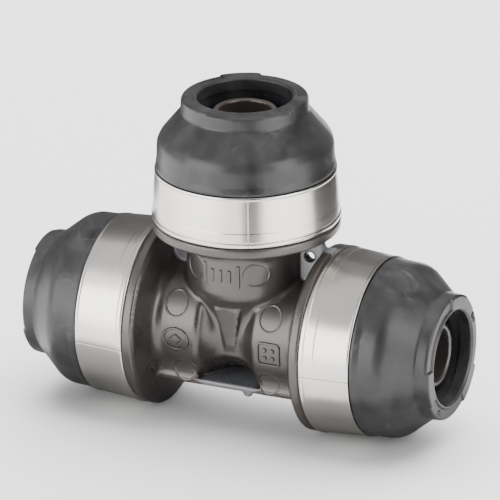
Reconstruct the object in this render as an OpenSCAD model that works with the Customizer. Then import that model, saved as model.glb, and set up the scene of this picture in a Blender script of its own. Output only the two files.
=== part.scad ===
// Push-fit tee for nominal 13 plastic pipe, assembled at the factory and not meant to be opened.
// Frame: +X along the run towards the right port, +Z up along the branch, origin under the run's
// centre, level with the lowest point of the run ports' steel bands. Millimetres.
//
// Every port is drawn once, in its own frame: +Z points out of the mouth, and z = 0 is a datum just
// under the face of the cap's lip, so that a place inside the port is a negative z.

/* [Pipe] */
// Outside diameter of the pipe that each port takes
pipe_od = 17; // [16.8:0.1:17.2]
// Inside diameter of that pipe
pipe_id = 12.8; // [12.7:0.1:13]

/* [Run and branch] */
// From the centre of the tee to the lip of each run port
run_reach = 41.5; // [40.5:0.5:48.5]
// From the centre of the tee to the lip of the branch port
branch_reach = 45.5; // [44.5:0.5:54.5]
// Outside diameter of the run's two barrels
run_barrel_d = 22; // [21.5:0.1:24]
// Outside diameter of the branch's barrel
branch_barrel_d = 22.4; // [21.5:0.1:24]
// Diameter of the narrow neck where run and branch cross
neck_d = 15.6; // [14:0.2:18]
// Diameter of the waterway
water_d = 9.8; // [8.6:0.2:10]

/* [Port] */
// Diameter of the lip around the mouth
lip_d = 23.4; // [22.6:0.2:24]
// Largest diameter of the cap's bell
bell_d = 32.8; // [32:0.2:33]
// Largest diameter of the steel band, at its inner end
band_d = 35; // [34.6:0.2:36]
// Width of the steel band along the port
band_w = 9.75; // [9:0.25:10]
// Depth of the band's outer end below the lip
band_depth = 13.85; // [13.85:0.05:14.5]
// Depth of the bottom of the pipe socket below the lip
socket_depth = 34; // [32.5:0.5:34.5]
// Depth of the nozzle's tip below the lip
tip_depth = 2.85; // [2.6:0.05:4]

/* [Seals and grip] */
// Thickness of the O-rings
seal_w = 1; // [0.9:0.05:1.05]
// Free travel of the lock ring towards the mouth
lock_float = 1; // [0.5:0.1:1]

/* [Hidden] */
$fn = 96;
cut = 0.05;                         // how far a cut runs past the face that it opens

RIGHT = 0;
LEFT = 1;
BRANCH = 2;

smoke = "#4a4643";
steel = "#c8c6c0";
seal_black = "#1c1c1d";
resin_white = "#d9d6cc";
resin_blue = "#4f6f96";

axis_h = band_d / 2;                // height of the run's axis
pipe_gap = 0.25;                    // radial clearance between pipe and socket
mouth_r = pipe_od / 2 + pipe_gap;
nozzle_r = pipe_id / 2 - 0.2;
water_r = water_d / 2;

// Places along a port, from the lip inwards
lip_face = 0.5;                     // from the datum out to the lip's face
lip_h = 2;
mouth_chamfer = 0.4;
mouth_wall_end = -2.1;
band_out_z = lip_face - band_depth;
band_in_z = band_out_z - band_w;
joint_z = -16.4;                    // where the cap's skirt meets the body's cup
flange_w = 1.9;
flange_z = band_in_z - 0.1;         // outer face of the body's flange
flare_z = flange_z - flange_w;
socket_z = lip_face - socket_depth;
tip_z = lip_face - tip_depth;
spigot_z = joint_z - 2;

// Radii in a port
band_t = 0.5;
band_in_r = band_d / 2;
band_out_r = band_in_r - 0.67;
band_play = 0.08;
flange_r = band_in_r - 0.05;
bell_r = bell_d / 2;
lip_r = lip_d / 2;
pocket_in_r = mouth_r + 1.65;
pocket_out_r = 14.2;
pocket_z = -23.5;
skirt_in_r = 12.6;
lip_gap = 0.1;                      // room around the band's turned-in edges
turned_in = 0.95;                   // how far the band's edges turn in
neck_r = neck_d / 2;

// The neck's hollow and the round shoulder where it reaches a barrel: radius of the hollow,
// radius of the shoulder, and where the hollow's middle lies along the port from the tee's centre
run_neck = [6.5, 1.5, 0];
branch_neck = [14.8, 3, -0.3];

// Flare from a barrel to the flange, as radius and distance inwards from the flange's back
flare_top = [16.7, 0.1];
flare_low = [12.5, 1.5];
flare_round = [[12, 1.75], [11.5, 2.15], [11.15, 2.7]];
flare_start = 3.35;

// The cone that closes the lock ring
cone_top_z = -4.5;
cone_top_r = 10.7;
cone_end_z = -10;
cone_end_r = 12.5;
cone_slope = (cone_end_r - cone_top_r) / (cone_top_z - cone_end_z);
lock_play = 0.15 + cone_slope * lock_float;
lock_out_z = -6.2;
lock_in_z = -10.2;
lock_lip = 0.35;
grip_in_r = mouth_r + 0.25;
grip_out_r = 10;

spreader_out_z = -6.3;
spreader_in_z = -12.8;
spreader_out_r = pipe_od / 2 + 0.1;
spreader_in_r = nozzle_r + 0.75;

backing_out_z = -11.3;
backing_step_z = -13;

// O-ring grooves
groove_w = 1.4;
groove_r = nozzle_r + 0.38 - seal_w;
inner_seal_z = -24;
outer_seal_z = -20;

// Base plate, and the cheeks that fill the corners between it and the run's barrels
plate_half = 9.3;
plate_top = -8.55;
plate_t = 1.1;
plate_reach = 14.8;
cheek_half = 9.1;
cheek_top = -5;
cheek_from = 6;
gate_x = 3.9;
gate_r = 0.9;

// Corner webs, as points across the run (x) and above its axis (z)
web_t = 2;
web_outline = [[8, 6], [13.2, 6], [16, 17.2], [15, 19.6], [8, 19.6]];
web_hole_d = 1.9;
web_hole_x = 13.1;
web_hole_z = 15.8;

// Rib under the branch's barrel: heights of its ends, and half widths across (x) and through (y)
rib_high = 6.8;
rib_low = -2;
rib_wide = [2.7, 9.45];
rib_narrow = [1.1, 8];

// Round ejector marks, sunk a little into the barrels, by their centres (x and z)
pin_d = 4.3;
pin_step = 0.1;
pin_spots = [[-10.1, 6], [8.9, 5.9], [-6, 14.2], [6, 14.2]];

// Radius of the band's bore at a depth z, and of what it is pressed onto
function band_bore_r(z) = band_in_r - band_t
    - (z - band_in_z) * (band_in_r - band_out_r) / band_w;
function under_band_r(z) = band_bore_r(z) - band_play;
// Radius of the cap's inner cone at a depth z
function cone_r(z) = cone_top_r + (cone_top_z - z) * cone_slope;
// From the tee's centre to a port's datum
function reach(port) = (port == BRANCH ? branch_reach : run_reach) - lip_face;
function barrel_r(port) = (port == BRANCH ? branch_barrel_d : run_barrel_d) / 2;
// Outline of a neck from its middle to the barrel, as [radius, distance from the tee's centre]
function neck_outline(neck, rise) = let(
    turn = acos(1 - rise / (neck[0] + neck[1])),
    barrel_s = neck[2] + (neck[0] + neck[1]) * sin(turn),
    steps = 6
) concat(
    [for (i = [0 : steps]) let(a = turn * i / steps)
        [neck_r + neck[0] * (1 - cos(a)), neck[2] + neck[0] * sin(a)]],
    [for (i = [1 : 3]) let(a = turn * (1 - i / 3))
        [neck_r + rise - neck[1] * (1 - cos(a)), barrel_s - neck[1] * sin(a)]]);

// Carries a shape from a port's own frame to its place on the tee
module on_port(port) {
    turn = [[0, 90, 0], [0, -90, 0], [0, 0, 0]][port];
    translate([0, 0, axis_h]) rotate(turn) translate([0, 0, reach(port)]) children();
}

// ---------------------------------------------------------------- body

// Outside of the body along one port, from the tee's centre to the cup's rim, with no hollows
module port_outside(port) {
    neck = neck_outline(port == BRANCH ? branch_neck : run_neck, barrel_r(port) - neck_r);
    flare = concat([flare_low], flare_round);
    rotate_extrude() polygon(concat(
        [[0, neck[0][1] - reach(port)]],
        [for (p = neck) [p[0], p[1] - reach(port)]],
        [[barrel_r(port), flare_z - flare_start]],
        [for (i = [len(flare) - 1 : -1 : 0])
            [flare[i][0] + barrel_r(port) - barrel_r(RIGHT), flare_z - flare[i][1]]],
        [[flare_top[0], flare_z - flare_top[1]],
         [flange_r, flare_z + 0.2], [flange_r, flange_z],
         [under_band_r(flange_z) - turned_in, flange_z],
         [under_band_r(flange_z) - turned_in, band_in_z + band_t + lip_gap],
         [under_band_r(band_in_z + 1), band_in_z + band_t + lip_gap],
         [under_band_r(joint_z), joint_z], [0, joint_z]]));
    translate([0, 0, -reach(port)]) cylinder(r = nozzle_r, h = reach(port) + joint_z + 1);
    nozzle();
}

// The spigot that the pipe slides over
module nozzle() {
    tip = 1.2;
    translate([0, 0, joint_z]) cylinder(r = nozzle_r, h = tip_z - tip - joint_z);
    translate([0, 0, tip_z - tip])
        cylinder(r1 = nozzle_r, r2 = nozzle_r - 0.4, h = tip);
}

// Ring-shaped hollow for the pipe, the O-ring grooves and the pocket around the guide sleeve
module port_hollow() {
    sleeve_lead = 0.6;
    rotate_extrude() polygon([
        [nozzle_r, socket_z], [mouth_r, socket_z], [mouth_r, joint_z - sleeve_lead],
        [mouth_r + sleeve_lead, joint_z], [mouth_r + sleeve_lead, 1], [nozzle_r, 1]]);
    rotate_extrude() polygon([
        [pocket_in_r, pocket_z], [pocket_out_r, pocket_z],
        [pocket_out_r, joint_z + cut], [pocket_in_r, joint_z + cut]]);
    for (z = [inner_seal_z, outer_seal_z]) rotate_extrude()
        translate([groove_r, z - groove_w / 2]) square([mouth_r - 0.1 - groove_r, groove_w]);
}

module waterway(port) {
    lead = 0.4;
    translate([0, 0, -reach(port)]) cylinder(r = water_r, h = reach(port));
    translate([0, 0, tip_z - lead])
        cylinder(r1 = water_r, r2 = water_r + lead, h = lead);
    translate([0, 0, tip_z]) cylinder(r = nozzle_r + 1, h = 3);
}

// Flat web in the corner between a run port and the branch, with a round hole
module corner_web() {
    rotate([90, 0, 0]) translate([0, 0, -web_t / 2]) linear_extrude(web_t) difference() {
        polygon(web_outline);
        translate([web_hole_x, web_hole_z]) circle(d = web_hole_d);
    }
}

// One of the rib's two tapers, drawn flat
module rib_taper(wide, narrow) {
    polygon([[-wide, rib_high], [-narrow, rib_low], [narrow, rib_low], [wide, rib_high]]);
}

// Rib down the front and back of the neck, narrower and shallower towards its foot
module neck_rib() {
    through = 2 * rib_wide[1] + 1;
    intersection() {
        rotate([90, 0, 0]) translate([0, 0, -through / 2]) linear_extrude(through)
            rib_taper(rib_wide[0], rib_narrow[0]);
        rotate([90, 0, 90]) translate([0, 0, -through / 2]) linear_extrude(through)
            rib_taper(rib_wide[1], rib_narrow[1]);
    }
}

module base_plate() {
    translate([-plate_reach, -plate_half, plate_top - plate_t])
        cube([2 * plate_reach, 2 * plate_half, plate_t]);
    for (x = [cheek_from, -plate_reach])
        translate([x, -cheek_half, plate_top - cut])
            cube([plate_reach - cheek_from, 2 * cheek_half, cheek_top - plate_top + cut]);
    // what is left of the moulding gate
    translate([gate_x, -plate_half, plate_top - plate_t]) rotate([-90, 0, 0])
        cylinder(r = gate_r, h = 1.2);
}

// Where an ejector pin stood: a round spot sunk into the barrel, front and back
module ejector_mark(spot) {
    on_branch = spot[1] > 10;
    mark_r = barrel_r(on_branch ? BRANCH : RIGHT);
    for (side = [-1, 1]) intersection() {
        translate([spot[0], side * 8, axis_h + spot[1]]) rotate([90, 0, 0])
            cylinder(d = pin_d, h = 12, center = true);
        translate([0, 0, axis_h]) rotate(on_branch ? [0, 0, 0] : [0, 90, 0]) difference() {
            cylinder(r = mark_r + 1, h = 60, center = true);
            cylinder(r = mark_r - pin_step, h = 61, center = true);
        }
    }
}

module tee_body() {
    color(smoke) difference() {
        union() {
            for (port = [RIGHT, LEFT, BRANCH]) on_port(port) port_outside(port);
            translate([0, 0, axis_h]) {
                for (side = [0, 1]) mirror([side, 0, 0]) corner_web();
                neck_rib();
                base_plate();
            }
        }
        for (port = [RIGHT, LEFT, BRANCH]) on_port(port) {
            port_hollow();
            waterway(port);
        }
        for (spot = pin_spots) ejector_mark(spot);
    }
}

// ---------------------------------------------------------------- cap, band and rings

module cap(port) {
    edge = 0.5;
    groove_out = band_out_z + 0.15;
    skirt_r = under_band_r(band_out_z);
    on_port(port) color(smoke) rotate_extrude() polygon([
        [mouth_r + mouth_chamfer, lip_face], [lip_r - edge, lip_face],
        [lip_r, lip_face - edge], [lip_r + 0.15, -lip_h],
        [lip_r + 0.55, -3], [15.55, -7], [16.05, -8], [16.28, -9], [bell_r, -11],
        [bell_r + 0.04, -12.6], [bell_r + 0.23, groove_out],
        [skirt_r - turned_in, groove_out], [skirt_r - turned_in, band_out_z - band_t - lip_gap],
        [skirt_r, band_out_z - band_t - lip_gap], [under_band_r(joint_z), joint_z + 0.05],
        [pocket_out_r - 0.1, joint_z + 0.05], [pocket_out_r - 0.1, spigot_z], [skirt_in_r, spigot_z],
        [skirt_in_r, cone_end_z - 0.6], [cone_end_r, cone_end_z], [cone_top_r, cone_top_z],
        [cone_top_r - 0.5, cone_top_z + 0.4], [mouth_r + 0.35, cone_top_z + 0.4],
        [mouth_r + 0.35, mouth_wall_end], [mouth_r, mouth_wall_end],
        [mouth_r, lip_face - mouth_chamfer]]);
}

// Steel band, rolled over the joint between cap and body, with both edges turned in
module band(port) {
    on_port(port) color(steel) rotate_extrude() polygon([
        [band_in_r, band_in_z + 0.15], [band_out_r, band_out_z - 0.15],
        [band_out_r - 0.15, band_out_z], [band_out_r - band_t - turned_in, band_out_z],
        [band_out_r - band_t - turned_in, band_out_z - band_t],
        [band_bore_r(band_out_z - band_t), band_out_z - band_t],
        [band_bore_r(band_in_z + band_t), band_in_z + band_t],
        [band_in_r - band_t - turned_in, band_in_z + band_t],
        [band_in_r - band_t - turned_in, band_in_z], [band_in_r - 0.15, band_in_z]]);
}

module o_ring(port, z) {
    seat = 0.02;
    on_port(port) color(seal_black) translate([0, 0, z]) rotate_extrude()
        translate([groove_r + seal_w / 2 + seat, 0]) circle(d = seal_w, $fn = 32);
}

// Fixed ring between the body's guide sleeve and the lock ring
module backing_ring(port) {
    play = 0.2;
    on_port(port) color(resin_white) rotate_extrude() polygon([
        [grip_in_r, backing_out_z], [skirt_in_r - play, backing_out_z],
        [skirt_in_r - play, joint_z + cut], [pocket_in_r - 0.6, joint_z + cut],
        [pocket_in_r - 0.6, backing_step_z], [grip_in_r, backing_step_z]]);
}

// Split wedge ring: the cap's cone closes it onto the pipe
module lock_ring(port) {
    slot_w = 2.4;
    outer_out = cone_r(lock_out_z) - lock_play;
    outer_in = cone_r(lock_in_z + 0.4) - lock_play;
    on_port(port) color(resin_white) difference() {
        rotate_extrude() polygon([
            [grip_out_r - 0.5, lock_out_z], [outer_out, lock_out_z], [outer_in, lock_in_z + 0.4],
            [outer_in, lock_in_z], [grip_out_r - 0.5, lock_in_z],
            [grip_out_r - 0.5, lock_in_z + lock_lip], [grip_out_r, lock_in_z + lock_lip],
            [grip_out_r, lock_out_z - lock_lip], [grip_out_r - 0.5, lock_out_z - lock_lip]]);
        translate([0, -slot_w / 2, lock_in_z - 1]) cube([15, slot_w, 6]);
    }
}

// Split stainless ring with rows of teeth, seated in the lock ring
module grip_ring(port) {
    rows = 3;
    seat = 0.05;
    gap_w = 2.4;
    slot_w = 0.8;
    low = lock_in_z + lock_lip + seat;
    high = lock_out_z - lock_lip - seat;
    pitch = (high - low) / rows;
    back_r = grip_out_r - seat;
    root_r = grip_in_r + 0.4;
    on_port(port) color(steel) difference() {
        rotate_extrude() polygon(concat(
            [[back_r, low], [back_r, high]],
            [for (i = [rows - 1 : -1 : 0], k = [1, 0])
                k == 1 ? [root_r, low + (i + 1) * pitch] : [grip_in_r, low + i * pitch + 0.15]],
            [[root_r, low]]));
        translate([0, -gap_w / 2, low - 1]) cube([12, gap_w, 6]);
        for (a = [45 : 45 : 315]) rotate(a) translate([0, -slot_w / 2, low + 1])
            cube([12, slot_w, 6]);
    }
}

// Sleeve that keeps the lock ring open until the pipe's end pushes it off
module spreader(port) {
    lead = 0.5;
    notch_w = 1.6;
    on_port(port) color(resin_blue) difference() {
        rotate_extrude() polygon([
            [spreader_in_r, spreader_in_z], [spreader_out_r - lead, spreader_in_z],
            [spreader_out_r, spreader_in_z + lead], [spreader_out_r, spreader_out_z],
            [spreader_in_r, spreader_out_z]]);
        for (a = [30, 150, 270]) rotate(a) translate([0, -notch_w / 2, spreader_in_z - cut])
            cube([12, notch_w, 2]);
    }
}

tee_body();
cap(RIGHT);  // right_cap
cap(LEFT);  // left_cap
cap(BRANCH);  // branch_cap
band(RIGHT);  // right_band
band(LEFT);  // left_band
band(BRANCH);  // branch_band
o_ring(RIGHT, inner_seal_z);  // right_inner_o_ring
o_ring(LEFT, inner_seal_z);  // left_inner_o_ring
o_ring(BRANCH, inner_seal_z);  // branch_inner_o_ring
o_ring(RIGHT, outer_seal_z);  // right_outer_o_ring
o_ring(LEFT, outer_seal_z);  // left_outer_o_ring
o_ring(BRANCH, outer_seal_z);  // branch_outer_o_ring
backing_ring(RIGHT);  // right_backing_ring
backing_ring(LEFT);  // left_backing_ring
backing_ring(BRANCH);  // branch_backing_ring
lock_ring(RIGHT);  // right_lock_ring
lock_ring(LEFT);  // left_lock_ring
lock_ring(BRANCH);  // branch_lock_ring
grip_ring(RIGHT);  // right_grip_ring
grip_ring(LEFT);  // left_grip_ring
grip_ring(BRANCH);  // branch_grip_ring
spreader(RIGHT);  // right_spreader
spreader(LEFT);  // left_spreader
spreader(BRANCH);  // branch_spreader
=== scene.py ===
"""Push-fit tee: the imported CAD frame, dressed with finished meshes and materials."""

import math

import bmesh
import bpy
import numpy as np
from mathutils import Matrix, Vector


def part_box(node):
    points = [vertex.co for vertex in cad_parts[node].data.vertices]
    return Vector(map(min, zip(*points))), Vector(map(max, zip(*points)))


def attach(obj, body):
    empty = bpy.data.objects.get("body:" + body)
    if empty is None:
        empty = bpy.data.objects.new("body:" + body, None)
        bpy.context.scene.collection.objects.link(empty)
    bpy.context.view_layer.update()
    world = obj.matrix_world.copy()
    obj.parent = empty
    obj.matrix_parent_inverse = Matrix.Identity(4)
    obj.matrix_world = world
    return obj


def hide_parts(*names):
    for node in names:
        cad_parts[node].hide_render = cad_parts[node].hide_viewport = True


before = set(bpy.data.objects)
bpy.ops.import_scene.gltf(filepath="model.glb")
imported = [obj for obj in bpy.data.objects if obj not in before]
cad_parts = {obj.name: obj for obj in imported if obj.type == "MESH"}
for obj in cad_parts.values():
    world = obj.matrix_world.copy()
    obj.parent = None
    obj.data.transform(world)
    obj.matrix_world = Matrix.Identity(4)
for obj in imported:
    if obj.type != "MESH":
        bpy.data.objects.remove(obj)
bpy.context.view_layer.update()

MM = 0.001
PORTS = ("right", "left", "branch")

# ---------------------------------------------------------------- sizes, from the frame, in mm

LIP = 0.5                           # from a port's datum out to its lip's face
AXIS_H = (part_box("right_band")[0].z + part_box("right_band")[1].z) / 2 / MM
# From the tee's centre to each port's datum
REACH = {
    "right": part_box("right_cap")[1].x / MM - LIP,
    "left": -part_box("left_cap")[0].x / MM - LIP,
    "branch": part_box("branch_cap")[1].z / MM - AXIS_H - LIP,
}
BAND_R = (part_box("right_band")[1].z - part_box("right_band")[0].z) / 2 / MM
BAND_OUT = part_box("right_band")[1].x / MM - REACH["right"]
BAND_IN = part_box("right_band")[0].x / MM - REACH["right"]
MOUTH_R = 8.75
NOZZLE_R = 6.2
TEE_CENTRE = Vector((0, 0, AXIS_H * MM))

# Turns a port's own frame, +Z out of the mouth and z = 0 at the datum, onto the tee
TURN = {
    "right": Matrix.Rotation(math.radians(90), 4, "Y"),
    "left": Matrix.Rotation(math.radians(-90), 4, "Y"),
    "branch": Matrix.Identity(4),
}


def port_matrix(port):
    """From millimetres in a port's own frame to metres in the row frame."""
    return (
        Matrix.Translation(TEE_CENTRE)
        @ TURN[port]
        @ Matrix.Translation((0, 0, REACH[port] * MM))
        @ Matrix.Scale(MM, 4)
    )


# ---------------------------------------------------------------- camera

def make_camera():
    """Long lens at the photograph's angle, a little off centre as the photograph is framed."""
    azimuth, elevation, roll = (math.radians(a) for a in (25.27, 22.27, -0.93))
    distance, lens = 1.308, 507.7
    shift_right, shift_up = 0.3005 * MM, 13.632 * MM
    back = Vector((
        math.sin(azimuth) * math.cos(elevation),
        -math.cos(azimuth) * math.cos(elevation),
        math.sin(elevation),
    ))
    level = (-back).cross(Vector((0, 0, 1))).normalized()
    upright = level.cross(-back)
    right = math.cos(roll) * level + math.sin(roll) * upright
    up = -math.sin(roll) * level + math.cos(roll) * upright
    place = TEE_CENTRE + back * distance + right * shift_right + up * shift_up
    data = bpy.data.cameras.new("camera")
    data.lens = lens
    data.sensor_width = 36
    data.clip_start, data.clip_end = 0.05, 20
    camera = bpy.data.objects.new("camera", data)
    camera.matrix_world = Matrix((
        (right.x, up.x, back.x, place.x),
        (right.y, up.y, back.y, place.y),
        (right.z, up.z, back.z, place.z),
        (0, 0, 0, 1),
    ))
    bpy.context.scene.collection.objects.link(camera)
    bpy.context.scene.camera = camera


make_camera()

# ---------------------------------------------------------------- outlines and revolved meshes


def rounded(corners, steps=5):
    """A closed outline with round corners. Each corner is (r, z) or (r, z, radius)."""
    out = []
    count = len(corners)
    for i, corner in enumerate(corners):
        here = np.array(corner[:2], float)
        radius = corner[2] if len(corner) > 2 else 0
        to_last = np.array(corners[i - 1][:2], float) - here
        to_next = np.array(corners[(i + 1) % count][:2], float) - here
        last_len, next_len = np.hypot(*to_last), np.hypot(*to_next)
        to_last, to_next = to_last / last_len, to_next / next_len
        half = math.acos(float(np.clip(to_last @ to_next, -1, 1))) / 2
        if radius <= 0 or abs(half - math.pi / 2) < 0.01:
            out.append(here)
            continue
        run = min(radius / math.tan(half), 0.49 * last_len, 0.49 * next_len)
        radius = run * math.tan(half)
        middle = here + (to_last + to_next) / np.hypot(*(to_last + to_next)) * radius / math.sin(half)
        start, end = here + to_last * run - middle, here + to_next * run - middle
        a0 = math.atan2(start[1], start[0])
        turn = math.atan2(end[1], end[0]) - a0
        turn = (turn + math.pi) % (2 * math.pi) - math.pi
        for k in range(steps + 1):
            a = a0 + turn * k / steps
            out.append(middle + radius * np.array((math.cos(a), math.sin(a))))
    return [tuple(p) for p in out]


def densified(outline, step_at):
    """The same closed outline with no stretch at a height z longer than step_at(z)."""
    out = []
    for i, (r, z) in enumerate(outline):
        r2, z2 = outline[(i + 1) % len(outline)]
        parts = max(1, math.ceil(math.hypot(r2 - r, z2 - z) / step_at(min(z, z2))))
        out += [(r + (r2 - r) * k / parts, z + (z2 - z) * k / parts) for k in range(parts)]
    return out


def mesh_object(name, points, faces, matrix=Matrix.Identity(4)):
    """A smooth-shaded object from vertices and faces, placed by matrix."""
    mesh = bpy.data.meshes.new(name)
    mesh.from_pydata([tuple(p) for p in points], [], faces)
    mesh.transform(matrix)
    mesh.update()
    bm = bmesh.new()
    bm.from_mesh(mesh)
    bmesh.ops.recalc_face_normals(bm, faces=bm.faces)
    bm.to_mesh(mesh)
    bm.free()
    mesh.polygons.foreach_set("use_smooth", [True] * len(mesh.polygons))
    made = bpy.data.objects.new(name, mesh)
    bpy.context.scene.collection.objects.link(made)
    return made


def even_angles(count):
    return np.arange(count) * 2 * math.pi / count


def revolved(name, port, outline, angles, shape):
    """A closed outline turned about a port's axis, through rising angles. shape(r, z, angle)
    moves its points."""
    rz = np.array(outline, float)
    r = np.repeat(rz[None, :, 0], len(angles), 0)
    z = np.repeat(rz[None, :, 1], len(angles), 0)
    a = np.repeat(angles[:, None], len(rz), 1)
    r, z = shape(r, z, a)
    points = np.stack([r * np.cos(a), r * np.sin(a), z], -1).reshape(-1, 3)
    ring, turns = len(rz), len(angles)
    faces = [
        (i * ring + j, i * ring + (j + 1) % ring,
         (i + 1) % turns * ring + (j + 1) % ring, (i + 1) % turns * ring + j)
        for i in range(turns)
        for j in range(ring)
    ]
    return mesh_object(name, points, faces, port_matrix(port))


def step_up(value, edge, width):
    """0 below edge, 1 above it, smooth over width."""
    t = np.clip((value - edge) / width + 0.5, 0, 1)
    return t * t * (3 - 2 * t)


def angle_gap(a, middle):
    """Signed angle from middle to a, in radians."""
    return (a - middle + math.pi) % (2 * math.pi) - math.pi


# ---------------------------------------------------------------- materials


class Nodes:
    """Short-hand for building a node material."""

    def __init__(self, name):
        self.material = bpy.data.materials.new(name)
        self.material.use_nodes = True
        self.tree = self.material.node_tree
        self.shader = self.tree.nodes["Principled BSDF"]
        self.place = self.tree.nodes.new("ShaderNodeTexCoord").outputs["Object"]

    def add(self, kind, **values):
        node = self.tree.nodes.new("ShaderNode" + kind)
        for key, value in values.items():
            if hasattr(node, key):
                setattr(node, key, value)
            else:
                self.put(value, node.inputs[key])
        return node

    def put(self, value, socket):
        if isinstance(value, bpy.types.NodeSocket):
            self.tree.links.new(value, socket)
        else:
            socket.default_value = value

    def noise(self, scale, detail=3, roughness=0.5, place=None, distortion=0.0):
        return self.add("TexNoise", Vector=place or self.place, Scale=scale, Detail=detail,
                        Roughness=roughness, Distortion=distortion).outputs["Fac"]

    def ramp(self, value, *stops):
        """Maps a value through colour stops (position, grey or (r, g, b))."""
        node = self.add("ValToRGB")
        self.put(value, node.inputs["Fac"])
        marks = node.color_ramp.elements
        while len(marks) < len(stops):
            marks.new(0.5)
        for mark, (position, colour) in zip(marks, stops):
            if not hasattr(colour, "__len__"):
                colour = (colour,) * 3
            mark.position = position
            mark.color = (*colour, 1)
        return node.outputs["Color"]

    def mix(self, share, a, b, blend="MIX"):
        node = self.add("MixRGB", blend_type=blend)
        self.put(share, node.inputs["Fac"])
        for value, socket in ((a, node.inputs["Color1"]), (b, node.inputs["Color2"])):
            if isinstance(value, tuple) and len(value) == 3:
                value = (*value, 1)
            self.put(value, socket)
        return node.outputs["Color"]

    def math(self, operation, a, b=0.0):
        node = self.add("Math", operation=operation)
        self.put(a, node.inputs[0])
        self.put(b, node.inputs[1])
        return node.outputs[0]

    def stretched(self, scale):
        return self.add("Mapping", Vector=self.place, Scale=scale).outputs["Vector"]

    def bump(self, height, distance, strength=1.0):
        node = self.add("Bump", Height=height, Distance=distance, Strength=strength)
        self.put(node.outputs["Normal"], self.shader.inputs["Normal"])

    def set(self, **values):
        for key, value in values.items():
            if isinstance(value, tuple) and len(value) == 3 and "Color" in key:
                value = (*value, 1)
            self.put(value, self.shader.inputs[key.replace("_", " ")])
        return self.material


def cap_material():
    """Satin dark grey resin with faint cloudy flow marks."""
    n = Nodes("cap_resin")
    clouds = n.noise(85, 4, 0.55, distortion=1.5)
    streaks = n.noise(230, 3, 0.5, place=n.stretched((1, 1, 0.35)), distortion=1.0)
    fine = n.noise(2600, 2, 0.6)
    mottle = n.math("ADD", n.math("MULTIPLY", clouds, 0.65), n.math("MULTIPLY", streaks, 0.35))
    base = n.ramp(mottle, (0.36, (0.014, 0.0136, 0.0143)), (0.64, (0.036, 0.0352, 0.0368)))
    # thin pale wisps where the resin flowed together, and a few rubbed spots
    wisp = n.ramp(n.noise(95, 1, 0.5, distortion=2.0), (0.47, 0.0), (0.5, 1.0), (0.51, 0.0))
    where = n.ramp(n.noise(70, 2, 0.5), (0.56, 0.0), (0.66, 1.0))
    rubbed = n.ramp(n.noise(170, 5, 0.7, distortion=0.6), (0.62, 0.0), (0.72, 1.0))
    wisp = n.math("MULTIPLY", n.math("MULTIPLY", wisp, where), 0.6)
    marks_seen = n.math("ADD", wisp, n.math("MULTIPLY", rubbed, 0.45))
    colour = n.mix(marks_seen, base, (0.085, 0.082, 0.082))
    n.bump(n.math("ADD", fine, n.math("MULTIPLY", streaks, 2.0)), 0.00002, 0.4)
    return n.set(Base_Color=colour, Roughness=n.ramp(mottle, (0.34, 0.27), (0.66, 0.40)),
                 IOR=1.5, Specular_IOR_Level=0.5)


def body_material():
    """Glossy smoke-grey resin, with painted light: where it is slim, in the webs and the open plate,
    the colour is painted lighter, standing in for light coming through the smoky resin.
    """
    n = Nodes("body_resin")
    clouds = n.noise(60, 4, 0.5, distortion=0.8)
    fine = n.noise(1800, 2, 0.5)
    dark = n.ramp(clouds, (0.3, (0.022, 0.0190, 0.0177)), (0.7, (0.040, 0.0345, 0.032)))
    # painted light: a per-vertex mask mixes the dark resin towards a pale blue-grey, standing in for
    # light coming through the slim webs and plate
    painted_light_through = n.add("Attribute", attribute_name="painted_light_through").outputs["Fac"]
    colour = n.mix(painted_light_through, dark, (0.13, 0.135, 0.15))
    n.bump(fine, 0.000012, 0.3)
    return n.set(Base_Color=colour, Roughness=n.ramp(clouds, (0.3, 0.25), (0.7, 0.36)),
                 IOR=1.56, Specular_IOR_Level=0.9, Specular_Tint=(1.0, 0.95, 0.92, 1.0))


def band_material():
    """Bright drawn stainless: fine lines round the band, faint cloudiness, a few dull specks."""
    n = Nodes("band_steel")
    around = n.add("Attribute", attribute_name="along").outputs["Fac"]
    lines = n.add("TexNoise", noise_dimensions="1D", W=n.math("MULTIPLY", around, 9.0),
                  Scale=1.0, Detail=3.0).outputs["Fac"]
    clouds = n.noise(90, 3, 0.5)
    specks = n.ramp(n.noise(900, 2, 0.6), (0.70, 0.0), (0.78, 1.0))
    tint = n.ramp(clouds, (0.3, (0.70, 0.672, 0.637)), (0.7, (0.80, 0.768, 0.728)))
    colour = n.mix(n.math("MULTIPLY", specks, 0.25), tint, (0.5, 0.48, 0.455))
    seam = n.add("Attribute", attribute_name="seam").outputs["Fac"]
    colour = n.mix(n.math("MULTIPLY", seam, 0.8), colour, (0.16, 0.155, 0.15))
    rough = n.math("ADD", n.math("MULTIPLY", lines, 0.06), n.math("MULTIPLY", clouds, 0.10))
    n.bump(lines, 0.00001, 0.12)
    return n.set(Base_Color=colour, Metallic=1.0, Roughness=n.math("ADD", rough, 0.15))


def rubber_material():
    """Black seal rubber with a slight haze."""
    n = Nodes("seal_rubber")
    haze = n.noise(500, 3, 0.6)
    n.bump(n.noise(4000, 2, 0.5), 0.000015, 0.4)
    return n.set(Base_Color=n.ramp(haze, (0.3, 0.014), (0.7, 0.026)),
                 Roughness=n.ramp(haze, (0.3, 0.38), (0.7, 0.55)))


def ring_material(name, dark, light):
    """Plain moulded resin of the rings inside, between two shades."""
    n = Nodes(name)
    clouds = n.noise(220, 3, 0.5)
    n.bump(n.noise(3000, 2, 0.5), 0.000015, 0.4)
    return n.set(Base_Color=n.ramp(clouds, (0.3, dark), (0.7, light)),
                 Roughness=n.ramp(clouds, (0.3, 0.36), (0.7, 0.5)))


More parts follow.
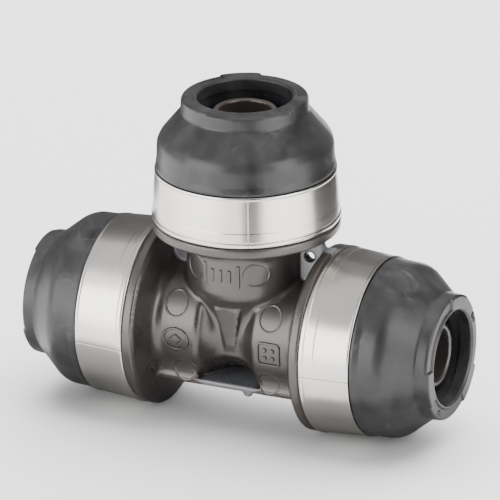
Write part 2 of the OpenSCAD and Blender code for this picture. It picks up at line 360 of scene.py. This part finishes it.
def grip_material():
    """Pressed stainless of the grip rings."""
    n = Nodes("grip_steel")
    clouds = n.noise(400, 3, 0.5)
    n.bump(n.noise(2500, 2, 0.5), 0.00001, 0.3)
    return n.set(Base_Color=n.ramp(clouds, (0.3, (0.52, 0.51, 0.5)), (0.7, (0.66, 0.65, 0.63))),
                 Metallic=1.0, Roughness=n.ramp(clouds, (0.3, 0.22), (0.7, 0.36)))


CAP = cap_material()
BODY = body_material()
BAND = band_material()
RUBBER = rubber_material()
RING = ring_material("ring_resin", (0.58, 0.57, 0.53), (0.68, 0.67, 0.63))
SPREADER = ring_material("spreader_resin", (0.04, 0.075, 0.14), (0.055, 0.10, 0.18))
GRIP = grip_material()


def finish_piece(piece, material, body, slot, *nodes):
    """Gives a piece its material and body, and hides the CAD nodes it stands for. The slot argument
    is not used.
    """
    piece.data.materials.clear()
    piece.data.materials.append(material)
    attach(piece, body)
    if nodes:
        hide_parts(*nodes)
    return piece


# ---------------------------------------------------------------- caps

# Where the lip's first raised pad starts, with the others 120 degrees on, and where its two
# moulding beads are, in degrees round each port
LIP_PADS = {"right": 144.0, "left": 93.0, "branch": 100.0}
LIP_BEADS = {"right": (111.0, 324.0), "left": (60.0, 201.0), "branch": (205.0, 336.0)}
LIP_R = 10.4                        # where lengths along the lip are measured
PAD_ANGLE = math.radians(38)
PAD_H = 0.34
PAD_FROM_R = 9.55
BEAD_AT_R, BEAD_R = 10.55, 0.42
NOTCH_AWAY, NOTCH_HALF, NOTCH_DEPTH = 1.25, 0.2, 0.32       # a notch beside each bead
PARTING_AT, PARTING_HALF, PARTING_H = 0.35, 0.13, 0.045     # radians, mm, mm
BELL_TOP, BELL_LOW = -2.6, -13.0
CAP_SEGMENTS = 432


def cap_shape(port):
    """Moves the cap's points: pads, beads and notches on the lip, parting lines on the bell."""
    def shape(r, z, a):
        on_face = step_up(z, LIP - 0.5, 0.3)
        outer = step_up(r, PAD_FROM_R, 0.25)
        pads = np.zeros_like(r)
        for k in range(3):
            middle = math.radians(LIP_PADS[port] + 120 * k) + PAD_ANGLE / 2
            gap = np.abs(angle_gap(a, middle)) * LIP_R
            pads = np.maximum(pads, 1 - step_up(gap, PAD_ANGLE / 2 * LIP_R, 0.22))
        z = z - PAD_H * on_face * outer * (1 - pads)
        for degrees in LIP_BEADS[port]:
            across = angle_gap(a, math.radians(degrees)) * LIP_R
            bead = 1 - step_up(np.hypot(across, r - BEAD_AT_R), BEAD_R, 0.25)
            z = z + on_face * PAD_H * bead * (1 - pads)
            notch = np.exp(-((across - NOTCH_AWAY) / NOTCH_HALF) ** 2)
            z = z - NOTCH_DEPTH * on_face * outer * notch
        for side in (0, math.pi):
            line = np.exp(-((angle_gap(a, side + PARTING_AT) * r) / PARTING_HALF) ** 2)
            on_bell = step_up(-z, -BELL_TOP, 0.8) * step_up(z - BELL_LOW, 0.0, 0.5)
            r = r + PARTING_H * line * on_bell
        return r, z
    return shape


def cap_outline():
    """Section of a cap, from the lip's inner edge round the outside and back up the inside."""
    lip = [
        (MOUTH_R, -0.45), (MOUTH_R + 0.02, LIP - 0.42, 0.3), (MOUTH_R + 0.42, LIP, 0.3),
        (11.7, LIP, 0.45), (11.86, -2.35, 0.9),
    ]
    gap_z, gap_r = BAND_OUT + 0.15, 15.35           # the fine gap above the band
    bell = [
        (16.3, -7.75, 4.2), (16.42, -11.6, 2.0), (16.63, -12.75, 0.4), (16.6, gap_z, 0.12),
        (gap_r, gap_z, 0.1),
    ]
    skirt_z, joint_z, spigot_z, spigot_r = BAND_OUT - 0.6, -16.35, -18.4, 14.1
    under_band = [
        (gap_r, skirt_z), (16.25, skirt_z, 0.1), (16.47, joint_z, 0.1), (spigot_r, joint_z),
        (spigot_r, spigot_z, 0.2),
    ]
    ledge_z, wall_end = -4.1, -2.1
    inside = [
        (12.6, spigot_z, 0.2), (12.6, -10.6, 0.3), (12.5, -10.0, 0.3), (10.7, -4.5, 0.2),
        (10.2, ledge_z, 0.2), (9.1, ledge_z, 0.1), (9.1, wall_end, 0.1), (MOUTH_R, wall_end, 0.1),
    ]
    return densified(rounded(lip + bell + under_band + inside), lambda z: 0.13 if z > -0.2 else 0.5)


def make_caps():
    outline = cap_outline()
    for port in PORTS:
        angles = even_angles(CAP_SEGMENTS)
        cap = revolved(f"{port}_cap_shell", port, outline, angles, cap_shape(port))
        finish_piece(cap, CAP, "fitting", "cap_resin", f"{port}_cap")


make_caps()

# ---------------------------------------------------------------- bands

SEAMS = {"right": 273.0, "left": 264.0, "branch": 296.0}   # degrees round each port
SEAM_DEPTH, SEAM_HALF, SEAM_DIRT_HALF = 0.04, 0.08, 0.1
SEAM_REACH = 0.6                    # how far the finer mesh goes on each side of a seam
BAND_SEGMENTS = 420


def band_shape(port):
    """A fine closed seam along the band."""
    def shape(r, z, a):
        gap = angle_gap(a, math.radians(SEAMS[port])) * BAND_R
        r = r - SEAM_DEPTH * step_up(r, 16.5, 0.2) * np.exp(-(gap / SEAM_HALF) ** 2)
        return r, z
    return shape


def band_outline():
    """Section of a band: a slightly conical sheet, both edges rolled in, one round bead each."""
    width = BAND_OUT - BAND_IN
    slope = 0.67 / width

    def outer(depth):
        """Sheet's outer radius at a distance from the band's inner edge."""
        return BAND_R - 0.06 - depth * slope

    thick = 0.45
    corners = [
        (BAND_R - 1.4, BAND_IN), (BAND_R, BAND_IN, 0.48), (BAND_R, BAND_IN + 0.92, 0.4),
        (outer(1.0) - 0.07, BAND_IN + 1.02, 0.08), (outer(1.25), BAND_IN + 1.2, 0.15),
        (outer(2.8), BAND_IN + 2.8, 0.1), (outer(2.9) - 0.03, BAND_IN + 2.95, 0.1),
        (outer(width - 0.62) - 0.03, BAND_OUT - 0.62, 0.2),
        (outer(width - 0.4) + 0.06, BAND_OUT - 0.38, 0.15),
        (outer(width) + 0.03, BAND_OUT, 0.2), (BAND_R - 2.0, BAND_OUT),
        (BAND_R - 2.0, BAND_OUT - thick), (outer(width - 0.5) - thick, BAND_OUT - thick, 0.1),
        (outer(0.5) - thick, BAND_IN + thick, 0.1), (BAND_R - 1.4, BAND_IN + thick),
    ]
    return densified(rounded(corners, 6), lambda z: 0.5)


def write_layer(piece, name, values):
    """Stores one number per vertex, for the piece's material."""
    layer = piece.data.attributes.new(name, "FLOAT", "POINT")
    layer.data.foreach_set("value", values)


def write_band_layers(band, port):
    """Where each vertex is along its port, in mm, and how near it is to the seam."""
    inverse = port_matrix(port).inverted()
    seam = math.radians(SEAMS[port])
    own = [inverse @ v.co for v in band.data.vertices]
    write_layer(band, "along", [p.z for p in own])
    gaps = [angle_gap(math.atan2(p.y, p.x), seam) * BAND_R for p in own]
    write_layer(band, "seam", [math.exp(-(gap / SEAM_DIRT_HALF) ** 2) for gap in gaps])


def seam_angles(port):
    """Even angles with extra ones beside the seam."""
    even = even_angles(BAND_SEGMENTS)
    seam = math.radians(SEAMS[port])
    close = seam + np.linspace(-SEAM_REACH, SEAM_REACH, 25) / BAND_R
    far = np.abs(angle_gap(even, seam)) > (SEAM_REACH + 0.02) / BAND_R
    return np.sort(np.concatenate([even[far], close % (2 * math.pi)]))


def make_bands():
    outline = band_outline()
    for port in PORTS:
        band = revolved(f"{port}_band_steel", port, outline, seam_angles(port), band_shape(port))
        write_band_layers(band, port)
        finish_piece(band, BAND, "fitting", "band_steel", f"{port}_band")


make_bands()

# ---------------------------------------------------------------- body, as a smooth solid

NECK_R = 7.8
BARREL_R = {"run": 11.0, "branch": 11.2}
# Radius of the neck's hollow, radius of the shoulder beside it, and where the hollow's middle is
NECK = {"run": (6.5, 1.5, 0.0), "branch": (14.8, 3.0, -0.3)}


def profile_field(outline, r_max, low, high, step=0.06):
    """Distance to a closed outline in the (r, z) plane, as a fast function of r and z."""
    rs, zs = np.arange(0, r_max + step, step), np.arange(low, high + step, step)
    r, z = np.meshgrid(rs, zs, indexing="ij")
    best, inside = np.full(r.shape, 1e9), np.zeros(r.shape, bool)
    for (ar, az), (br, bz) in zip(outline, outline[1:] + outline[:1]):
        er, ez = br - ar, bz - az
        length = er * er + ez * ez
        if length < 1e-12:
            continue
        t = np.clip(((r - ar) * er + (z - az) * ez) / length, 0, 1)
        best = np.minimum(best, (r - ar - er * t) ** 2 + (z - az - ez * t) ** 2)
        if az != bz:
            crosses = (az > z) != (bz > z)
            inside ^= crosses & (r < er * (z - az) / ez + ar)
    grid = np.where(inside, -1.0, 1.0) * np.sqrt(best)

    def field(r, z):
        u = np.clip(r / step, 0, len(rs) - 1.001)
        v = np.clip((z - low) / step, 0, len(zs) - 1.001)
        i, j = u.astype(int), v.astype(int)
        u, v = u - i, v - j
        return (
            grid[i, j] * (1 - u) * (1 - v) + grid[i + 1, j] * u * (1 - v)
            + grid[i, j + 1] * (1 - u) * v + grid[i + 1, j + 1] * u * v
        )
    return field


def smooth_min(a, b, width):
    h = np.maximum(width - np.abs(a - b), 0) / width
    return np.minimum(a, b) - h * h * width / 4


def smooth_max(a, b, width):
    return -smooth_min(-a, -b, width)


def neck_points(kind):
    """The hollow of a neck and its round shoulder, from the hollow's middle to the barrel."""
    hollow, shoulder, middle = NECK[kind]
    rise = BARREL_R[kind] - NECK_R
    turn = math.acos(1 - rise / (hollow + shoulder))
    barrel_s = middle + (hollow + shoulder) * math.sin(turn)
    bottom = [
        (NECK_R + hollow * (1 - math.cos(a)), middle + hollow * math.sin(a))
        for a in np.linspace(0, turn, 16)
    ]
    top = [
        (BARREL_R[kind] - shoulder * (1 - math.cos(a)), barrel_s - shoulder * math.sin(a))
        for a in np.linspace(turn, 0, 9)[1:]
    ]
    return bottom + top


def port_outline(kind, shift):
    """Outside of one port of the body, r against the distance from the tee's centre."""
    flange_r, groove_r, cup_end = 17.42, 16.0, 24.6
    flare = [(BARREL_R[kind], 14.0, 2.3), (16.9, 15.68, 0.25), (17.1, 15.95, 0.1)]
    flange = [(flange_r, 15.98, 0.3), (flange_r, 17.75, 0.3)]
    cup = [(groove_r, 17.8), (groove_r, 18.5), (16.85, 18.5), (16.5, cup_end), (0, cup_end)]
    outer = [(r, s + shift, *radius) for r, s, *radius in flare + flange + cup]
    return rounded([(0, -4), (NECK_R, -4)] + neck_points(kind) + outer, 10)


SOCKET_END, TIP = -33.5, -2.35
GROOVE_R, GROOVE_HALF = 5.58, 0.7


def nozzle_outline():
    """One nozzle with its two O-ring grooves, z from the port's datum."""
    foot = SOCKET_END - 0.1
    out = [(0, foot), (NOZZLE_R, foot)]
    for z in (-24, -20):
        low, high = z - GROOVE_HALF, z + GROOVE_HALF
        out += [(NOZZLE_R, low), (GROOVE_R, low), (GROOVE_R, high), (NOZZLE_R, high)]
    return out + [(NOZZLE_R, -3.55, 0.3), (5.85, TIP, 0.15), (0, TIP)]


# Room for the pipe round each nozzle, and for the cap's spigot, z from the port's datum
HOLLOW = [
    (NOZZLE_R - 1, SOCKET_END), (MOUTH_R, SOCKET_END), (MOUTH_R, -17.0), (9.35, -16.4), (9.35, 3),
    (NOZZLE_R - 1, 3),
]
POCKET = [(10.4, -23.5), (14.2, -23.5), (14.2, -15), (10.4, -15)]
WATER_R = 4.9
BRANCH_SHIFT = REACH["branch"] - REACH["right"]

run_field = profile_field(port_outline("run", 0), 20, -5, 30)
branch_field = profile_field(port_outline("branch", BRANCH_SHIFT), 20, -5, 34)
nozzle_field = profile_field(rounded(nozzle_outline()), 12, -38, 2)
hollow_field = profile_field(HOLLOW, 20, -38, 6)
pocket_field = profile_field(POCKET, 20, -38, 2)
web_field = profile_field([(8, 6), (13.2, 6), (16, 17.2), (15, 19.6), (8, 19.6)], 22, 0, 26)

PLATE_HALF, PLATE_LOW, PLATE_HIGH, PLATE_REACH = 9.3, -9.65, -8.55, 14.8
CHEEK_HALF, CHEEK_MID, CHEEK_LONG = 9.15, 10.5, 4.2
NUB_X, NUB_R = 3.9, 0.9                             # the gate's stub on the plate's edge
RIB_MID, RIB_HALF_H = 0.3, 6.2
WEB_HALF = 1.0
EYE_X, EYE_Z, EYE_R, EYE_SKIN = 13.1, 15.8, 0.95, 0.2
PIN_R, PIN_SUNK, PIN_RIM_H = 2.15, 0.09, 0.05
# Ejector marks: x, height above the run's axis
PIN_SPOTS = ((-10.15, 5.95), (8.9, 5.85), (-8.7, -7.0), (8.3, -7.0), (-6.0, 14.15), (6.0, 14.15))


# Plain emblems: where each one's middle is on the barrels
OVAL_X, OVAL_Z, OVAL_HALF, OVAL_HALF_H = -9.75, -0.35, 2.7, 2.15
FRAME_X, FRAME_Z, FRAME_HALF = 9.1, -0.5, 2.15
DOT_AWAY, DOT_R, DOT_H = 0.78, 0.42, 0.28
BARS_Z, BARS_STEP = 13.8, 1.7
BAR_HALVES = (2.2, 1.2, 1.2, 1.2, 2.2)
BARS_START = -3.6                                   # round the branch barrel, in mm
MARK_H, MARK_HALF_LINE = 0.3, 0.2


def box_distance(offsets, halves, round_by):
    """Distance to a box with round edges, from each axis's distance to its middle."""
    q = np.stack([np.abs(o) - h + round_by for o, h in zip(offsets, halves)])
    return np.sqrt((np.maximum(q, 0) ** 2).sum(0)) + np.minimum(q.max(0), 0) - round_by


def marks(x, y, z):
    """Height of the small moulded marks above the barrels, in mm; negative where sunk."""
    height = np.zeros_like(x)
    for cx, cz in PIN_SPOTS:
        away = np.hypot(x - cx, z - cz)
        height -= PIN_SUNK * (1 - step_up(away, PIN_R - 0.1, 0.14))
        height += PIN_RIM_H * np.exp(-((away - PIN_R - 0.05) / 0.12) ** 2)
    front = y < -6
    flat = np.zeros_like(x)
    # oval frame round a plain lozenge, left barrel
    u, v = (x - OVAL_X) / OVAL_HALF, (z - OVAL_Z) / OVAL_HALF_H
    ring = np.abs(np.hypot(u, v) - 0.93) * 2.4
    height += front * MARK_H * (1 - step_up(ring, MARK_HALF_LINE, 0.1))
    height += front * MARK_H * (1 - step_up((np.abs(u) + np.abs(v)) * 2.2, 1.0, 0.12))
    # rounded frame round four dots, right barrel
    across, up = x - FRAME_X, z - FRAME_Z
    frame_gap = box_distance((across, up, flat), (FRAME_HALF, FRAME_HALF, 1), 0.75)
    height += front * MARK_H * (1 - step_up(np.abs(frame_gap), MARK_HALF_LINE, 0.1))
    dots = np.hypot(np.abs(across) - DOT_AWAY, np.abs(up) - DOT_AWAY)
    height += front * DOT_H * (1 - step_up(dots, DOT_R, 0.12))
    # five bars of two lengths, branch barrel
    arc = BARREL_R["branch"] * np.arctan2(x, -y)
    for k, half in enumerate(BAR_HALVES):
        bar = box_distance((arc - BARS_START - BARS_STEP * k, z - BARS_Z, flat), (0.3, half, 1), 0.25)
        height += front * MARK_H * (1 - step_up(bar, 0.0, 0.1))
    return height


def body_field(p, with_marks=False):
    """Signed distance, nearly, to the body's surface, in mm from the tee's centre."""
    x, y, z = p[:, 0], p[:, 1], p[:, 2]
    from_run, from_branch = np.hypot(y, z), np.hypot(x, y)
    run = run_field(from_run, np.abs(x))
    branch = branch_field(from_branch, z)
    field = smooth_min(run, branch, 1.1)
    # the rib's front runs down with the neck and sinks into it at the foot
    sunk = NECK_R + 0.57 * step_up(z, -2.5, 5.0)
    front = np.where(z > 0, 8.37 + 0.165 * z, np.sqrt(np.maximum(sunk ** 2 - z * z, 0)))
    rib = smooth_max(np.abs(y) - front - 0.12, np.abs(x) - 1.4 - 0.2 * z, 0.18)
    rib = smooth_max(rib, np.abs(z - RIB_MID) - RIB_HALF_H, 0.25)
    field = smooth_min(field, rib, 0.35)
    plate_mid, plate_half_t = (PLATE_LOW + PLATE_HIGH) / 2, (PLATE_HIGH - PLATE_LOW) / 2
    plate = box_distance((x, y, z - plate_mid), (PLATE_REACH, PLATE_HALF, plate_half_t), 0.3)
    field = smooth_min(field, plate, 0.35)
    cheek = box_distance((np.abs(x) - CHEEK_MID, y, z + 7.0), (CHEEK_LONG, CHEEK_HALF, 1.8), 0.8)
    field = smooth_min(field, cheek, 0.9)
    nub = np.hypot(x - NUB_X, z - PLATE_LOW) - NUB_R
    nub = smooth_max(nub, np.abs(y + PLATE_HALF - 0.6) - 0.55, 0.2)
    field = smooth_min(field, nub, 0.2)
    web = smooth_max(web_field(np.abs(x), z), np.abs(y) - WEB_HALF, 0.3)
    # the web's eye, closed halfway by a thin skin of moulding flash
    eye = np.maximum(np.hypot(np.abs(x) - EYE_X, z - EYE_Z) - EYE_R, EYE_SKIN - np.abs(y))
    web = smooth_max(web, -eye, 0.2)
    field = smooth_min(field, web, 0.35)
    if with_marks:
        field = field - np.where(np.abs(x) < 12.6, marks(x, y, z), 0)
    for r, depth in ((from_run, x - REACH["right"]), (from_run, -x - REACH["left"]),
                     (from_branch, z - REACH["branch"])):
        hollow = np.minimum(hollow_field(r, depth), pocket_field(r, depth))
        nozzle = nozzle_field(r, depth)
        field = smooth_max(field, -hollow, 0.12)
        field = np.minimum(field, np.where(depth > -36, nozzle, 1e3))
    water = np.minimum(from_run - WATER_R, np.where(z > 0, from_branch - WATER_R, 1e3))
    return smooth_max(field, -water, 0.2)


def onto_surface(p, with_marks, rounds=4, most=0.25):
    """Moves points along the field's slope until they lie on its surface."""
    step = 0.015
    for _ in range(rounds):
        value = body_field(p, with_marks)
        slope = np.stack([
            body_field(p + step * np.eye(3)[k], with_marks) - value for k in range(3)
        ], 1) / step
        size = np.maximum((slope ** 2).sum(1), 0.2)
        move = -(value / size)[:, None] * slope
        length = np.sqrt((move ** 2).sum(1))
        p = p + move * np.minimum(1, most / np.maximum(length, 1e-9))[:, None]
    return p


def vertex_array(mesh):
    flat = np.zeros(len(mesh.vertices) * 3)
    mesh.vertices.foreach_get("co", flat)
    return flat.reshape(-1, 3)


def refine_near(bm, spots, rounds):
    """Splits the faces near each spot (a point and a reach, mm from the tee's centre)."""
    for _ in range(rounds):
        edges = set()
        for face in bm.faces:
            middle = face.calc_center_median()
            if any((middle - point).length < reach for point, reach in spots):
                edges.update(face.edges)
        bmesh.ops.subdivide_edges(bm, edges=list(edges), cuts=1, use_grid_fill=True)


def mark_spots():
    """Where the body's mesh has to be finer: at the ejector marks, and at the emblems."""
    spots = []
    for cx, cz in PIN_SPOTS:
        on_branch = cz > 10
        radius, across = (BARREL_R["branch"], cx) if on_branch else (BARREL_R["run"], cz)
        depth = math.sqrt(radius ** 2 - across ** 2)
        spots += [(Vector((cx, side * depth, cz)), PIN_R + 0.9) for side in (-1, 1)]
    emblems = [
        (Vector((OVAL_X, -BARREL_R["run"], OVAL_Z)), 3.2),
        (Vector((FRAME_X, -BARREL_R["run"], FRAME_Z)), 3.5),
    ]
    emblems += [(Vector((x, -11.0 + abs(x) * 0.2, BARS_Z)), 3.0) for x in (-3.0, 0.0, 2.6)]
    return spots, emblems


def paint_light_through(body):
    """Paints light onto the webs and the open plate: a mask for the lighter colour that stands in for
    light coming through the smoky resin. The web's eye is left at the dark resin colour.
    """
    p = vertex_array(body.data) / MM - np.array((0, 0, AXIS_H))
    x, y, z = np.abs(p[:, 0]), np.abs(p[:, 1]), p[:, 2]
    web = (y < 1.3) * step_up(z, 10.5, 2.5) * step_up(x, 11.6, 0.8) * (1 - step_up(z, 18.6, 0.8))
    web = web * step_up(np.hypot(x - EYE_X, z - EYE_Z), EYE_R + 0.2, 0.3)
    plate = (1 - step_up(z, -8.3, 0.6)) * (1 - step_up(x, 5.4, 1.6))
    write_layer(body, "painted_light_through", np.clip(web + plate, 0, 1))


def make_body(voxel=0.34):
    """The CAD body's mesh, made even, then drawn onto the smooth solid and its marks."""
    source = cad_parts["tee_body"]
    mesh = source.data.copy()
    mesh.transform(Matrix.Scale(1 / MM, 4) @ Matrix.Translation(-TEE_CENTRE))
    body = bpy.data.objects.new("body_shell", mesh)
    bpy.context.scene.collection.objects.link(body)
    remesh = body.modifiers.new("remesh", "REMESH")
    remesh.mode, remesh.voxel_size, remesh.adaptivity = "VOXEL", voxel, 0
    evaluated = body.evaluated_get(bpy.context.evaluated_depsgraph_get())
    even = bpy.data.meshes.new_from_object(evaluated)
    body.modifiers.clear()
    even.vertices.foreach_set("co", onto_surface(vertex_array(even), False).ravel())
    bm = bmesh.new()
    bm.from_mesh(even)
    spots, emblems = mark_spots()
    refine_near(bm, spots + emblems, 2)
    refine_near(bm, emblems, 1)
    bm.to_mesh(even)
    bm.free()
    even.vertices.foreach_set("co", onto_surface(vertex_array(even), True, 3).ravel())
    even.transform(Matrix.Translation(TEE_CENTRE) @ Matrix.Scale(MM, 4))
    even.polygons.foreach_set("use_smooth", [True] * len(even.polygons))
    even.update()
    body.data = even
    paint_light_through(body)
    finish_piece(body, BODY, "fitting", "body_resin", "tee_body")


make_body()

# ---------------------------------------------------------------- rings inside, kept from the CAD

INNER = {
    "inner_o_ring": (RUBBER, "fitting", "seal_rubber"),
    "outer_o_ring": (RUBBER, "fitting", "seal_rubber"),
    "backing_ring": (RING, "fitting", "ring_resin"),
    "lock_ring": (RING, "lock", "ring_resin"),
    "grip_ring": (GRIP, "lock", "grip_steel"),
    "spreader": (SPREADER, "release", "spreader_resin"),
}

for port in PORTS:
    for kind, (material, body, slot) in INNER.items():
        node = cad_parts[f"{port}_{kind}"]
        node.data.materials.clear()
        node.data.materials.append(material)

# ---------------------------------------------------------------- floor, lights and surroundings


def make_floor():
    n = Nodes("floor_paper")
    n.set(Base_Color=n.ramp(n.noise(3, 2, 0.5), (0.3, 0.86), (0.7, 0.88)), Roughness=0.7)
    half = 3.0
    floor = mesh_object(
        "floor", [(-half, -half, 0), (half, -half, 0), (half, half, 0), (-half, half, 0)],
        [(0, 1, 2, 3)])
    floor.data.materials.append(n.material)


def make_light(name, azimuth, elevation, distance, size, power):
    """A soft rectangular light that looks at the tee. Azimuth is measured from -Y towards +X."""
    a, e = math.radians(azimuth), math.radians(elevation)
    towards = Vector((math.sin(a) * math.cos(e), -math.cos(a) * math.cos(e), math.sin(e)))
    data = bpy.data.lights.new(name, "AREA")
    data.shape = "RECTANGLE"
    data.size, data.size_y = size
    data.energy = power
    light = bpy.data.objects.new(name, data)
    light.location = TEE_CENTRE + towards * distance
    light.rotation_mode = "QUATERNION"
    light.rotation_quaternion = towards.to_track_quat("Z", "Y")
    light.visible_camera = False
    bpy.context.scene.collection.objects.link(light)
    return light


def make_panel(name, azimuth, distance, width, height, glow):
    """An upright diffusing panel that stands on the floor and shows only in reflections."""
    power = glow * math.pi * width * height
    panel = make_light(name, azimuth, 0, distance, (width, height), power)
    panel.location.z = height / 2
    panel.visible_diffuse = False


def make_card(name, corners, shade):
    """A matt card that shows only in the reflections, as a photographer's black card does."""
    card = mesh_object(name, corners, [(0, 1, 2, 3)])
    n = Nodes(name + "_paper")
    n.set(Base_Color=n.ramp(n.noise(20, 2, 0.5), (0.3, shade), (0.7, shade * 1.2)), Roughness=0.8)
    card.data.materials.append(n.material)
    card.visible_camera = False
    card.visible_diffuse = False
    card.visible_shadow = False


def make_upright_card(name, azimuth, distance, width, height, shade):
    """Stands on the floor, square to the tee."""
    a = math.radians(azimuth)
    foot = Vector((math.sin(a), -math.cos(a), 0)) * distance
    across = Vector((math.cos(a), math.sin(a), 0)) * width / 2
    up = Vector((0, 0, height))
    make_card(name, [foot - across, foot + across, foot + across + up, foot - across + up], shade)


def make_painted_shadow_card(name, x0, x1, y0, y1, shade):
    """A painted shadow: a dark card under the tee, where its own shadow would be on a white table,
    seen only in reflections.
    """
    low = 0.0001
    make_card(name, [(x0, y0, low), (x1, y0, low), (x1, y1, low), (x0, y1, low)], shade)


def make_world():
    world = bpy.data.worlds.new("studio")
    bpy.context.scene.world = world
    world.use_nodes = True
    background = world.node_tree.nodes["Background"]
    background.inputs["Color"].default_value = (1.0, 1.0, 1.0, 1)
    background.inputs["Strength"].default_value = 0.30


make_floor()
make_light("key", -32, 10, 0.9, (0.8, 0.75), 7.0)
make_light("side", 78, 14, 0.9, (0.5, 0.8), 4.5)
make_light("top", 5, 74, 1.1, (2.0, 1.6), 6.0)
# lights the floor from behind, so that the mouths stay dark, and isn't seen in reflections
fill = make_light("fill", 180, 62, 1.2, (2.0, 2.0), 80.0)
fill.visible_glossy = False
PANEL_H = 0.16
make_panel("left_panel", -47, 0.15, 0.30, PANEL_H, 1.3)
make_panel("right_panel", 72, 0.14, 0.13, PANEL_H, 1.15)
make_upright_card("front_card", 31, 0.13, 0.048, PANEL_H, 0.02)
make_upright_card("right_card", 142, 0.105, 0.14, PANEL_H, 0.02)
make_upright_card("left_card", -138, 0.12, 0.15, PANEL_H, 0.05)
CARD_BACK = 0.026
# painted shadow: dark cards under the tee stand in for its contact shadow, and are seen only in
# reflections
make_painted_shadow_card("left_painted_shadow_card", -0.05, -0.013, -0.042, CARD_BACK, 0.2)
make_painted_shadow_card("middle_painted_shadow_card", -0.013, 0.013, -0.02, CARD_BACK, 0.2)
make_painted_shadow_card("right_painted_shadow_card", 0.013, 0.05, -0.025, CARD_BACK, 0.2)
make_world()
